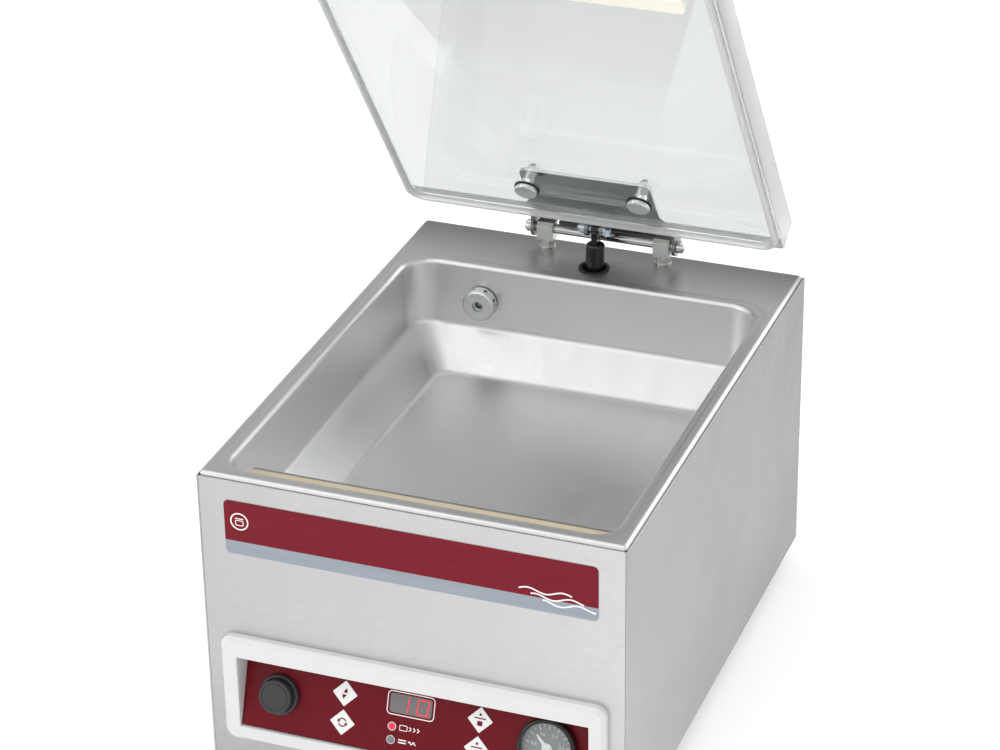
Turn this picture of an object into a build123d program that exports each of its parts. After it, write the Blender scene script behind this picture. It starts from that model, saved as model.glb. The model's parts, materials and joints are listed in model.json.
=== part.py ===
from build123d import *
import math
import os

# Table-top vacuum packing machine with a clear lid, millimetres, +Z up, front towards -Y.
# The origin is the bottom centre of the whole machine with its lid open.

os.makedirs("parts", exist_ok=True)

# Case
BODY_WIDTH = 330.0
BODY_DEPTH = 450.0
FRONT_Y = -220.94
FOOT_HEIGHT = 20.0
CASE_TOP = FOOT_HEIGHT + 244.0
SIDE_SHEET = 1.5
SHEET = 1.2
PANEL_GAP = 0.4
INSIDE_X = BODY_WIDTH / 2 - SIDE_SHEET
BASE_FLANGE = 15.0
FOOT_HOLE = 3.1
SCREW_HOLE = 2.1
LABEL_SIZE = (287.5, 44.5)
LABEL_MIDDLE = (-0.25, 225.25)

# Chamber tray
TRAY_TOP = CASE_TOP + 3.0
SKIRT_BOTTOM = CASE_TOP - 19.0
LEDGE_Z = TRAY_TOP - 56.0
FLOOR_Z = TRAY_TOP - 85.0
RIM_RADIUS = 5.0
LEDGE_RADIUS = 5.0
FLOOR_RADIUS = 5.0
CHAMBER_HALF_WIDTH = 148.5
CHAMBER_FRONT = 15.0
CHAMBER_REAR = 381.0
GROMMET_RADIUS = 11.3
LIFT_HOLE = 6.0

# Suction fitting in the chamber's rear wall, with the valve behind it
FITTING_X = -88.0
FITTING_Z = 234.5
FITTING_FACE = 369.0
FITTING_RADIUS = 13.5
FITTING_HOLE = 7.0
LOWER_PORT_Z = 92.0
HOSE_RADIUS = 6.0

# Hinge and lid, with the lid modelled closed and then turned open
OPEN_ANGLE = 55.0
AXLE_RADIUS = 4.0
PIN_PLAY = 0.05
LID_THICKNESS = 25.0
LID_HALF_WIDTH = 161.0
LID_BOTTOM = TRAY_TOP + 6.3
LID_TOP = LID_BOTTOM + LID_THICKNESS
GASKET_WIDTH = 5.0
GASKET_SEAT = 2.0
HINGE_SHEET = 2.5
CLAMP_X = 47.0
CLAMP_HOLE = 5.1
NUT_WASHER = 1.2
STUD_X = 50.0
STUD_RADIUS = 3.9
STUD_HOLE = 4.1
BLOCK_HALF_WIDTH = 7.0
BLOCK_HALF_DEPTH = 7.2
BLOCK_TOP = 6.6
BLOCK_LIFT = 7.5
FLANGE_HALF_WIDTH = 41.5
FLANGE_CLEAR = 5.4
EAR_INSIDE = 59.3
EAR_OUTSIDE = EAR_INSIDE + HINGE_SHEET
COUNTER_HALF_LENGTH = 142.0
COUNTER_HALF_WIDTH = 8.5
COUNTER_DEPTH = 16.5
SILICONE_THICKNESS = 4.0

# Gas spring, measured along its axis from the clevis bolt
STRUT_LENGTH = 187.0
STRUT_RADIUS = 7.75
ROD_RADIUS = 4.0
BOLT_RADIUS = 3.0
LOOSE_EYE = 1.8

# Control panel, tilted back
PANEL_TILT = 19.5
FASCIA_THICKNESS = 2.0
KEY_SIDE = 14.0
KEY_GAP = 0.2
CAP_RADIUS = 13.0
SLIDE_GAP = 0.3
OPENING_HALF_WIDTH = 138.0
BEZEL_REACH = 7.5
DIAL_RADIUS = 19.3
DIGIT_HALF_WIDTH = 3.7
DIGIT_HALF_HEIGHT = 6.1
DIGIT_STROKE = 0.9
DIGIT_SLANT = 0.1

# Seal bar
SEAL_TOP = CASE_TOP - 12.0
SEAL_HALF_LENGTH = 139.0
LIFT_X = 90.0
LIFT_ROD_RADIUS = 4.0
LIFT_HOUSING = 46.0
STRIP_HALF_LENGTH = 132.0
TAPE_THICKNESS = 0.4

# Pump, motor and transformer on the base plate
PUMP_X = -92.0
MOUNT_HEIGHT = 14.0
PUMP_HALF_WIDTH = 46.0
MOTOR_INSIDE = 30.0
SHAFT_RADIUS = 6.0
BASE_TOP = FOOT_HEIGHT + SIDE_SHEET


def fy(distance):
    """Y of a point this far behind the front face of the case."""
    return FRONT_Y + distance


LID_FRONT = fy(3.2)
LID_REAR = fy(392.7)
AXLE_Y = fy(433.0)
AXLE_Z = CASE_TOP + 19.5
SEAL_Y = fy(34.5)
GROMMET_Y = fy(405.7)
CLAMP_Y = LID_REAR - 40.0
HINGE_AXIS = Axis((0, AXLE_Y, AXLE_Z), (-1, 0, 0))
CLEVIS = Vector(0, AXLE_Y - 22.0, AXLE_Z + 16.5)
STRUT_FOOT = Vector(0, fy(392.0), CASE_TOP - 150.0)
STRUT = Plane(origin=CLEVIS, x_dir=(1, 0, 0), z_dir=STRUT_FOOT - CLEVIS)
BRACKET_PIN = Vector(0, STRUT_FOOT.Y - 1.5, STRUT_FOOT.Z)
TILT = math.radians(PANEL_TILT)
PANEL = Plane(
    origin=(0, fy(-5.5), 56.0),
    x_dir=(1, 0, 0),
    z_dir=(0, -math.cos(TILT), math.sin(TILT)),
)

PARTS = {}


def keep(name, *shapes):
    """Store one node, made of one or more separate solids."""
    PARTS[name] = shapes[0] if len(shapes) == 1 else Part() + list(shapes)


def block(x, y, z):
    """Box from its low and high limits along each axis."""
    size = [high - low for low, high in (x, y, z)]
    middle = [(high + low) / 2 for low, high in (x, y, z)]
    return Pos(*middle) * Box(*size)


def bar(start, end, radius):
    """Round bar between two points."""
    start = Vector(*start)
    run = Vector(*end) - start
    solid = Cylinder(radius, run.length, align=(Align.CENTER, Align.CENTER, Align.MIN))
    return Plane(origin=start, z_dir=run).location * solid


def tube(start, end, outer, inner):
    """Round tube between two points."""
    return bar(start, end, outer) - bar(start, end, inner)


def disc(x, y, low, high, radius):
    """Upright round bar."""
    return bar((x, y, low), (x, y, high), radius)


def hexagon(x, y, low, high, across):
    """Upright hexagonal bar."""
    outline = RegularPolygon(across / 2, 6, major_radius=False)
    return Pos(x, y, low) * extrude(outline, high - low)


def profile(points, x_low, x_high):
    """Flat shape drawn in Y and Z, given a thickness along X."""
    face = Plane.YZ.offset(x_low) * make_face(Polyline(*points, close=True))
    return extrude(face, x_high - x_low, dir=(1, 0, 0))


def opened(solid):
    """Turn a closed-lid solid to the open rest position."""
    return solid.rotate(HINGE_AXIS, OPEN_ANGLE)


def rounded(x, y, z, front_radius, rear_radius):
    """Level rectangle with its own corner radii at the front and the rear."""
    outline = Pos((x[0] + x[1]) / 2, (y[0] + y[1]) / 2, z) * Rectangle(x[1] - x[0], y[1] - y[0])
    outline = fillet(outline.vertices().sort_by(Axis.Y)[2:], rear_radius)
    return fillet(outline.vertices().sort_by(Axis.Y)[:2], front_radius)


def edges_at(solid, height):
    """Edges lying level at one height."""
    return solid.edges().filter_by_position(Axis.Z, height - 0.01, height + 0.01)


def make_case():
    inner_y = (fy(SHEET + PANEL_GAP), fy(BODY_DEPTH - SHEET - PANEL_GAP))
    base_x = (-INSIDE_X + 0.3, INSIDE_X - 0.3)
    base = block(base_x, inner_y, (FOOT_HEIGHT, FOOT_HEIGHT + BASE_FLANGE))
    hollow_x = (base_x[0] + SIDE_SHEET, base_x[1] - SIDE_SHEET)
    hollow_y = (inner_y[0] + SIDE_SHEET, inner_y[1] - SIDE_SHEET)
    base -= block(hollow_x, hollow_y, (BASE_TOP, FOOT_HEIGHT + BASE_FLANGE + 1))
    for row in range(2):
        for step in range(9):
            x = -72 + 18 * step
            slot_y = (fy(70 + 190 * row), fy(110 + 190 * row))
            base -= block((x - 3, x + 3), slot_y, (FOOT_HEIGHT - 1, FOOT_HEIGHT + 2))
    for x, y in foot_places():
        base -= disc(x, y, FOOT_HEIGHT - 1, FOOT_HEIGHT + 2, FOOT_HOLE)
    keep("base_plate", base)

    side_y = (fy(0), fy(BODY_DEPTH))
    for name, sign in (("side_panel_left", -1), ("side_panel_right", 1)):
        x = sorted((sign * INSIDE_X, sign * BODY_WIDTH / 2))
        side = block(x, side_y, (FOOT_HEIGHT, CASE_TOP))
        outside = side.faces().sort_by(Axis.X)[0 if sign < 0 else -1]
        keep(name, fillet(outside.edges(), 1.0))

    panel_x = (-INSIDE_X + 0.2, INSIDE_X - 0.2)
    panel_z = (FOOT_HEIGHT + 0.3, CASE_TOP - 0.4)
    front = block(panel_x, (fy(0), fy(SHEET)), panel_z)
    front -= block((-144, 144), (fy(-1), fy(SHEET + 1)), (50, 126))
    keep("front_panel", front)

    back_y = (fy(BODY_DEPTH - SHEET), fy(BODY_DEPTH))
    back = block(panel_x, back_y, panel_z)
    for column in range(12):
        for row in range(3):
            x = -110 + 20 * column
            z = 178 + 22 * row
            slot = block((x - 3, x + 3), (back_y[0] - 1, back_y[1] + 1), (z - 8, z + 8))
            back -= slot
    back -= block((96, 124), (back_y[0] - 1, back_y[1] + 1), (46, 68))
    for x, z in screw_places():
        back -= bar((x, back_y[0] - 1, z), (x, back_y[1] + 1, z), SCREW_HOLE)
    keep("back_panel", back)

    label = Plane.XZ.offset(-fy(0)) * Pos(*LABEL_MIDDLE) * RectangleRounded(*LABEL_SIZE, 4)
    keep("front_label", extrude(label, 0.5))

    feet = []
    for x, y in foot_places():
        foot = Pos(x, y, 0) * Cone(15, 13, FOOT_HEIGHT, align=(Align.CENTER, Align.CENTER, Align.MIN))
        foot -= disc(x, y, -1, 8, 5)
        foot -= disc(x, y, 7, FOOT_HEIGHT + 1, 3.0)
        feet.append(fillet(edges_at(foot, 0).sort_by(SortBy.LENGTH)[-1:], 1.5))
    keep("rubber_feet", *feet)

    screws = []
    for x, z in screw_places():
        head = bar((x, back_y[1], z), (x, back_y[1] + 2.2, z), 3.8)
        head = fillet(head.edges().sort_by(Axis.Y)[-1:], 1.2)
        head -= block((x - 3, x + 3), (back_y[1] + 1.3, back_y[1] + 3), (z - 0.5, z + 0.5))
        screws.append(head + bar((x, back_y[0] - 6, z), (x, back_y[1], z), 2.0))
    for x, y in foot_places():
        head = disc(x, y, 3, 7, 4.6)
        screws.append(head + disc(x, y, 7, FOOT_HEIGHT + 6, 3.0))
    keep("case_screws", *screws)


def foot_places():
    return [(x, fy(y)) for x in (-132, 132) for y in (42, 408)]


def screw_places():
    return [(x, z) for x in (-154, 0, 154) for z in (42, 232)]


def rounded_corner(before, corner, after, radius, steps=4):
    """Points of an arc that rounds one corner of a flat outline."""
    start = (Vector(*before) - Vector(*corner)).normalized()
    end = (Vector(*after) - Vector(*corner)).normalized()
    half = math.radians(start.get_angle(end)) / 2
    centre = Vector(*corner) + (start + end).normalized() * (radius / math.sin(half))
    first = Vector(*corner) + start * (radius / math.tan(half)) - centre
    last = Vector(*corner) + end * (radius / math.tan(half)) - centre
    points = []
    for step in range(steps + 1):
        along = first * (1 - step / steps) + last * (step / steps)
        point = centre + along.normalized() * radius
        points.append((point.X, point.Y))
    return points


def chamber(wall):
    """The chamber's hollow, or its outer skin when grown by the sheet's thickness.

    The wall's section runs from the rolled rim down to the ledge and in to the floor,
    as pairs of inset and height.
    """
    rim_centre = TRAY_TOP - RIM_RADIUS
    rim_radius = RIM_RADIUS - wall
    section = [(-RIM_RADIUS, TRAY_TOP - 0.2 if wall else TRAY_TOP + 1)]
    for step in range(6):
        angle = math.radians(18 * step)
        inset = -RIM_RADIUS + rim_radius * math.sin(angle)
        section.append((inset, rim_centre + rim_radius * math.cos(angle)))
    ledge = (2.5 - wall, LEDGE_Z - wall / 2)
    foot = (33.5 - wall, FLOOR_Z - wall)
    section += rounded_corner(section[-1], ledge, foot, LEDGE_RADIUS + wall)
    section += rounded_corner(ledge, foot, (80, foot[1]), FLOOR_RADIUS + wall)
    levels = []
    for inset, height in section:
        depth = max(0.0, rim_centre - height)
        front = CHAMBER_FRONT + (min(inset, 0.0) if depth == 0 else -wall) + depth / 16
        half_width = CHAMBER_HALF_WIDTH - inset
        rear_radius = 25 - inset / 3
        front_radius = 18 - inset / 5
        reach = (fy(front), fy(CHAMBER_REAR - inset))
        levels.append(rounded((-half_width, half_width), reach, height, front_radius, rear_radius))
    return loft(levels, ruled=True)


def suction_bar(front, rear, radius):
    """Level bar on the suction fitting's line, between two distances behind the case's front."""
    return bar((FITTING_X, fy(front), FITTING_Z), (FITTING_X, fy(rear), FITTING_Z), radius)


def make_tray():
    outer_x = (-INSIDE_X + 0.6, INSIDE_X - 0.6)
    outer_y = (fy(1.6), fy(BODY_DEPTH - 1.6))
    tray = block(outer_x, outer_y, (SKIRT_BOTTOM, TRAY_TOP))
    tray = fillet(tray.edges().filter_by(Axis.Z), 2.5)
    tray = fillet(edges_at(tray, TRAY_TOP), 3.0)
    inner_x = (outer_x[0] + SHEET, outer_x[1] - SHEET)
    inner_y = (outer_y[0] + SHEET, outer_y[1] - SHEET)
    under = block(inner_x, inner_y, (SKIRT_BOTTOM - 1, TRAY_TOP - SHEET))
    under = fillet(edges_at(under, TRAY_TOP - SHEET), 1.8)
    tray -= under
    tray += chamber(SHEET)
    tray -= chamber(0)
    tray -= disc(0, GROMMET_Y, TRAY_TOP - 5, TRAY_TOP + 1, GROMMET_RADIUS)
    for x in (-STUD_X, STUD_X):
        tray -= disc(x, AXLE_Y, TRAY_TOP - 5, TRAY_TOP + 1, STUD_HOLE)
    for x in (-LIFT_X, LIFT_X):
        tray -= disc(x, SEAL_Y, FLOOR_Z - 5, FLOOR_Z + 1, LIFT_HOLE)
    tray -= suction_bar(370, 395, FITTING_HOLE)
    keep("chamber_tray", tray)

    fitting = suction_bar(FITTING_FACE, 378.6, FITTING_RADIUS)
    fitting = chamfer(fitting.edges().sort_by(Axis.Y)[:1], 1.5)
    fitting += suction_bar(378, 400, FITTING_HOLE - 0.1)
    fitting -= suction_bar(360, FITTING_FACE + 3.5, 4.6)
    fitting -= suction_bar(360, 401, 3.4)
    slot_y = fy(FITTING_FACE + 6)
    for step in range(8):
        angle = math.radians(45 * step + 22.5)
        reach = FITTING_RADIUS + 0.5
        spoke = (FITTING_X + reach * math.cos(angle), slot_y, FITTING_Z + reach * math.sin(angle))
        fitting -= bar((FITTING_X, slot_y, FITTING_Z), spoke, 1.6)
    keep("suction_fitting", fitting)

    grommet = disc(0, GROMMET_Y, TRAY_TOP, TRAY_TOP + 1.0, 12.6)
    grommet += disc(0, GROMMET_Y, TRAY_TOP - 4, TRAY_TOP, GROMMET_RADIUS)
    grommet += disc(0, GROMMET_Y, TRAY_TOP - 4, TRAY_TOP - SHEET, 12.6)
    grommet -= disc(0, GROMMET_Y, TRAY_TOP - 6, TRAY_TOP + 2, 10.2)
    keep("spring_grommet", grommet)


def make_hinge():
    blocks = []
    block_y = (AXLE_Y - BLOCK_HALF_DEPTH, AXLE_Y + BLOCK_HALF_DEPTH)
    for x in (-STUD_X, STUD_X):
        block_x = (x - BLOCK_HALF_WIDTH, x + BLOCK_HALF_WIDTH)
        solid = block(block_x, block_y, (TRAY_TOP + BLOCK_LIFT, AXLE_Z + BLOCK_TOP))
        solid = chamfer(edges_at(solid, AXLE_Z + BLOCK_TOP).filter_by(Axis.X), 3.2)
        solid = fillet(solid.edges().filter_by(Axis.Z), 0.8)
        solid -= bar((x - 8, AXLE_Y, AXLE_Z), (x + 8, AXLE_Y, AXLE_Z), AXLE_RADIUS + PIN_PLAY)
        solid -= disc(x, AXLE_Y, TRAY_TOP + 7, AXLE_Z - 6.9, STUD_RADIUS + PIN_PLAY)
        blocks.append(solid)
    keep("hinge_blocks", *blocks)

    nuts = []
    for x in (-STUD_X, STUD_X):
        stud = disc(x, AXLE_Y, TRAY_TOP - 14, AXLE_Z - 7, STUD_RADIUS)
        stud += disc(x, AXLE_Y, TRAY_TOP, TRAY_TOP + NUT_WASHER, 7.0)
        nut = hexagon(x, AXLE_Y, TRAY_TOP + NUT_WASHER, TRAY_TOP + BLOCK_LIFT, 11)
        stud += nut & Pos(x, AXLE_Y, TRAY_TOP + 4.35) * Sphere(7.0)
        stud += hexagon(x, AXLE_Y, TRAY_TOP - SHEET - 6.5, TRAY_TOP - SHEET, 11)
        nuts.append(stud)
    keep("hinge_nuts", *nuts)

    axle = bar((-66, AXLE_Y, AXLE_Z), (66, AXLE_Y, AXLE_Z), AXLE_RADIUS)
    for sign in (-1, 1):
        cap = bar((sign * 62.2, AXLE_Y, AXLE_Z), (sign * 68.6, AXLE_Y, AXLE_Z), 5.2)
        axle += fillet(cap.edges().sort_by(lambda edge: sign * edge.center().X)[-1:], 3.6)
    keep("hinge_axle", axle)

    plate_z = (LID_TOP, LID_TOP + HINGE_SHEET)
    outline = [(-55, LID_REAR - 52), (55, LID_REAR - 52), (55, LID_REAR - 6), (EAR_OUTSIDE, LID_REAR + 4)]
    outline += [(EAR_OUTSIDE, AXLE_Y + 2), (-EAR_OUTSIDE, AXLE_Y + 2)]
    outline += [(-EAR_OUTSIDE, LID_REAR + 4), (-55, LID_REAR - 6)]
    sheet = extrude(Pos(0, 0, plate_z[0]) * make_face(Polyline(*outline, close=True)), HINGE_SHEET)
    sheet = fillet(sheet.edges().filter_by(Axis.Z).sort_by(Axis.Y)[:2], 6)
    rib_y = LID_REAR - 17
    sheet += bar((-50, rib_y, LID_TOP + 1.2), (50, rib_y, LID_TOP + 1.2), 2.6)
    sheet -= block((-60, 60), (rib_y - 4, rib_y + 4), (LID_TOP - 4, LID_TOP))
    sheet -= bar((-48, rib_y, LID_TOP - 0.2), (48, rib_y, LID_TOP - 0.2), 1.5)
    ear_points = [(LID_REAR + 5, plate_z[0] + 0.5), (AXLE_Y + 2, plate_z[0] + 0.5)]
    ear_points += [(AXLE_Y + 8, AXLE_Z + 1), (AXLE_Y, AXLE_Z - 8), (AXLE_Y - 7.2, AXLE_Z - 3.5)]
    ear = profile(ear_points, EAR_INSIDE, EAR_OUTSIDE)
    ear += bar((EAR_INSIDE, AXLE_Y, AXLE_Z), (EAR_OUTSIDE, AXLE_Y, AXLE_Z), 8.0)
    ear -= bar((58, AXLE_Y, AXLE_Z), (63, AXLE_Y, AXLE_Z), AXLE_RADIUS + PIN_PLAY)
    sheet += ear
    sheet += mirror(ear, Plane.YZ)
    clevis = turned_closed(CLEVIS)
    for low, high in ((-8.5, -5.5), (4.5, 7.5)):
        tab_points = [(clevis.Y - 9, plate_z[0] + 0.5), (clevis.Y + 9, plate_z[0] + 0.5)]
        tab_points += [(clevis.Y + 6.5, clevis.Z), (clevis.Y - 6.5, clevis.Z)]
        tab = profile(tab_points, low, high)
        tab += bar((low, clevis.Y, clevis.Z), (high, clevis.Y, clevis.Z), 6.5)
        tab -= bar((low - 1, clevis.Y, clevis.Z), (high + 1, clevis.Y, clevis.Z), BOLT_RADIUS + PIN_PLAY)
        sheet += tab
    flange_x = (-FLANGE_HALF_WIDTH, FLANGE_HALF_WIDTH)
    sheet += block(flange_x, (AXLE_Y - 0.5, AXLE_Y + 2), (AXLE_Z + FLANGE_CLEAR, LID_TOP + 1))
    for x in (-CLAMP_X, CLAMP_X):
        sheet -= disc(x, CLAMP_Y, LID_TOP - 1, LID_TOP + 4, 3.2)
    keep("hinge_plate", opened(sheet))

    bolt = bar((-15, clevis.Y, clevis.Z), (13.5, clevis.Y, clevis.Z), BOLT_RADIUS)
    bolt += bar((-12.5, clevis.Y, clevis.Z), (-8.6, clevis.Y, clevis.Z), 5.0)
    bolt += bar((7.6, clevis.Y, clevis.Z), (9.0, clevis.Y, clevis.Z), 6.3)
    hex_end = extrude(RegularPolygon(5, 6, major_radius=False), 4.0)
    nut = Pos(9.0, clevis.Y, clevis.Z) * Rot(0, 90, 0) * hex_end
    bolt += nut
    keep("clevis_bolt", opened(bolt))


def turned_closed(point):
    """Turn a point of the open lid back to the closed lid."""
    angle = math.radians(OPEN_ANGLE)
    dy = point.Y - AXLE_Y
    dz = point.Z - AXLE_Z
    y = AXLE_Y + dy * math.cos(angle) - dz * math.sin(angle)
    z = AXLE_Z + dy * math.sin(angle) + dz * math.cos(angle)
    return Vector(point.X, y, z)


def make_lid():
    slab = block((-LID_HALF_WIDTH, LID_HALF_WIDTH), (LID_FRONT, LID_REAR), (LID_BOTTOM, LID_TOP))
    slab = fillet(slab.edges().filter_by(Axis.Z), 4.0)
    slab = chamfer(edges_at(slab, LID_TOP) + edges_at(slab, LID_BOTTOM), 1.0)
    ring_x = LID_HALF_WIDTH - 3.2
    ring_y = (LID_FRONT + 1.6, LID_REAR - 1.5)
    low = LID_BOTTOM - 6.0
    outer = extrude(rounded((-ring_x, ring_x), ring_y, low, 16, 16), 6.0 + GASKET_SEAT)
    inset_x = ring_x - GASKET_WIDTH
    inset_y = (ring_y[0] + GASKET_WIDTH, ring_y[1] - GASKET_WIDTH)
    inner = extrude(rounded((-inset_x, inset_x), inset_y, low - 1, 11, 11), 10.0 + GASKET_SEAT)
    gasket = outer - inner
    slab -= gasket
    gasket = fillet(edges_at(gasket, low), 2.2)
    keep("lid_gasket", opened(gasket))

    washers = []
    bolts = []
    sleeves = []
    nuts = []
    for x in (-CLAMP_X, CLAMP_X):
        slab -= disc(x, CLAMP_Y, LID_BOTTOM - 1, LID_TOP + 1, CLAMP_HOLE)
        washers.append(tube((x, CLAMP_Y, LID_BOTTOM - 1.5), (x, CLAMP_Y, LID_BOTTOM), 10.5, 3.2))
        sleeves.append(tube((x, CLAMP_Y, LID_BOTTOM), (x, CLAMP_Y, LID_TOP), 5.0, 3.2))
        head = disc(x, CLAMP_Y, LID_BOTTOM - 5.0, LID_BOTTOM - 1.5, 9.8)
        head = fillet(edges_at(head, LID_BOTTOM - 5.0), 1.6)
        bolts.append(opened(head + disc(x, CLAMP_Y, LID_BOTTOM - 1.5, LID_TOP + 10, BOLT_RADIUS)))
        nut_low = LID_TOP + HINGE_SHEET
        nut = hexagon(x, CLAMP_Y, nut_low + NUT_WASHER, nut_low + 6.2, 10)
        nut += disc(x, CLAMP_Y, nut_low, nut_low + NUT_WASHER, 6.2)
        nut += Pos(x, CLAMP_Y, nut_low + 6.2) * Sphere(4.4)
        nut -= disc(x, CLAMP_Y, nut_low - 1, LID_TOP + 10, BOLT_RADIUS + 0.02)
        nuts.append(opened(nut))
    keep("lid_slab", opened(slab))
    keep("clamp_washers", *[opened(piece) for piece in washers])
    keep("clamp_sleeves", *[opened(piece) for piece in sleeves])
    keep("clamp_bolts", *bolts)
    keep("clamp_nuts", *nuts)

    bar_x = (-COUNTER_HALF_LENGTH, COUNTER_HALF_LENGTH)
    bar_y = (SEAL_Y - COUNTER_HALF_WIDTH, SEAL_Y + COUNTER_HALF_WIDTH)
    silicone_z = (LID_BOTTOM - COUNTER_DEPTH, LID_BOTTOM - COUNTER_DEPTH + SILICONE_THICKNESS)
    holder = block(bar_x, bar_y, (silicone_z[1], LID_BOTTOM))
    holder = fillet(holder.edges().filter_by(Axis.Z), 2.5)
    keep("counter_bar_holder", opened(holder))
    silicone = block(bar_x, bar_y, silicone_z)
    silicone = fillet(silicone.edges().filter_by(Axis.Z), 2.5)
    silicone = fillet(edges_at(silicone, silicone_z[0]), 1.5)
    keep("counter_bar_silicone", opened(silicone))


def make_gas_spring():
    base = (Align.CENTER, Align.CENTER, Align.MIN)
    cylinder = Pos(0, 0, 12) * Cylinder(STRUT_RADIUS, 100, align=base)
    cylinder = fillet(edges_at(cylinder, 12), 3.0)
    cylinder -= Pos(0, 0, 17) * Cylinder(6.3, 89, align=base)
    cylinder -= Pos(0, 0, 105) * Cylinder(ROD_RADIUS + PIN_PLAY, 8, align=base)
    cylinder += bar((-2.5, 0, 0), (2.5, 0, 0), 6.5)
    cylinder += block((-2.5, 2.5), (-4.5, 4.5), (0, 13))
    cylinder -= bar((-3, 0, 0), (3, 0, 0), BOLT_RADIUS + PIN_PLAY)
    keep("gas_spring_cylinder", STRUT.location * cylinder)

    rod = Pos(0, 0, 96) * Cylinder(6.2, 6, align=base)
    rod += Pos(0, 0, 96) * Cylinder(ROD_RADIUS, STRUT_LENGTH - 104, align=base)
    eye = bar((-4.6, 0, STRUT_LENGTH), (4.6, 0, STRUT_LENGTH), 9.5)
    eye -= bar((-5, 0, STRUT_LENGTH), (5, 0, STRUT_LENGTH), ROD_RADIUS + LOOSE_EYE)
    rod += eye
    keep("gas_spring_rod", STRUT.location * rod)

    pin_y = BRACKET_PIN.Y
    bracket = block((-22, 22), (pin_y - 12, pin_y + 12), (BASE_TOP, BASE_TOP + 2.5))
    for x in (-7.5, 5):
        bracket += block((x, x + 2.5), (pin_y - 12, pin_y + 12), (BASE_TOP, BRACKET_PIN.Z))
        bracket += bar((x, pin_y, BRACKET_PIN.Z), (x + 2.5, pin_y, BRACKET_PIN.Z), 12)
    bracket += bar((-10, pin_y, BRACKET_PIN.Z), (10, pin_y, BRACKET_PIN.Z), ROD_RADIUS)
    keep("gas_spring_bracket", bracket)


def make_seal_bar():
    bar_y = (SEAL_Y - 7.6, SEAL_Y + 7.6)
    body = block((-SEAL_HALF_LENGTH, SEAL_HALF_LENGTH), bar_y, (SEAL_TOP - 14, SEAL_TOP - TAPE_THICKNESS))
    grooves = []
    for y in (SEAL_Y - 2.5, SEAL_Y + 2.5):
        strip_x = (-STRIP_HALF_LENGTH, STRIP_HALF_LENGTH)
        strip = block(strip_x, (y - 1.5, y + 1.5), (SEAL_TOP - 0.9, SEAL_TOP - TAPE_THICKNESS))
        grooves.append(strip)
        body -= strip
    keep("heating_strip", *grooves)
    keep("seal_bar", body)
    tape_x = (-SEAL_HALF_LENGTH + 0.5, SEAL_HALF_LENGTH - 0.5)
    tape_y = (bar_y[0] - TAPE_THICKNESS, bar_y[1] + TAPE_THICKNESS)
    tape = block(tape_x, tape_y, (SEAL_TOP - 7, SEAL_TOP))
    inside_x = (-SEAL_HALF_LENGTH, SEAL_HALF_LENGTH)
    tape -= block(inside_x, bar_y, (SEAL_TOP - 8, SEAL_TOP - TAPE_THICKNESS))
    keep("seal_tape", tape)

    rods = []
    cylinders = []
    for x in (-LIFT_X, LIFT_X):
        rods.append(disc(x, SEAL_Y, FLOOR_Z + 8, SEAL_TOP - 14, LIFT_ROD_RADIUS))
        housing = disc(x, SEAL_Y, FLOOR_Z, FLOOR_Z + LIFT_HOUSING, 9.0)
        housing = fillet(edges_at(housing, FLOOR_Z + LIFT_HOUSING), 1.5)
        housing += disc(x, SEAL_Y, FLOOR_Z - 16, FLOOR_Z, LIFT_HOLE - 0.1)
        housing += hexagon(x, SEAL_Y, FLOOR_Z - SHEET - 6, FLOOR_Z - SHEET, 17)
        housing -= disc(x, SEAL_Y, FLOOR_Z + 5, FLOOR_Z + 50, LIFT_ROD_RADIUS + PIN_PLAY)
        cylinders.append(housing)
    keep("lift_rods", *rods)
    keep("lift_cylinders", *cylinders)


def on_panel(solid):
    """Place a solid drawn on the tilted control panel."""
    return PANEL.location * solid


def diamond(x, y, side, low, high):
    return Pos(x, y, low) * Rot(0, 0, 45) * extrude(Rectangle(side, side), high - low)


KEYS = {
    "key_program_step": (-57.5, 39.2),
    "key_value_change": (-57.5, 17.0),
    "key_vacuum_stop": (49.5, 39.6),
    "key_seal_start": (49.0, 17.4),
}
SWITCH = (-109.0, 28.8)
GAUGE = (103.5, 29.6)
WINDOW = (-5.0, 39.8)
LAMPS = {"lamp_vacuum": (-18.2, 21.8), "lamp_seal": (-18.2, 11.5)}


def digit(x, y, lit):
    """Bars of a seven-bar digit leaning to the right, with only the named bars made."""
    w = DIGIT_HALF_WIDTH
    h = DIGIT_HALF_HEIGHT
    t = DIGIT_STROKE / 2
    bars = {
        "top": (-w + 0.2, w - 0.2, h - 2 * t, h),
        "bottom": (-w + 0.2, w - 0.2, -h, -h + 2 * t),
        "upper_left": (-w - 2 * t, -w, 0.3, h - 0.2),
        "upper_right": (w, w + 2 * t, 0.3, h - 0.2),
        "lower_left": (-w - 2 * t, -w, -h + 0.2, -0.3),
        "lower_right": (w, w + 2 * t, -h + 0.2, -0.3),
    }
    solids = []
    for name in lit:
        left, right, low, high = bars[name]
        corners = [(left, low), (right, low), (right, high), (left, high)]
        leaning = [(x + a + DIGIT_SLANT * b, y + b) for a, b in corners]
        face = Pos(0, 0, 0.1) * make_face(Polyline(*leaning, close=True))
        solids.append(extrude(face, 0.15, dir=(0, 0, 1)))
    return solids


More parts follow.
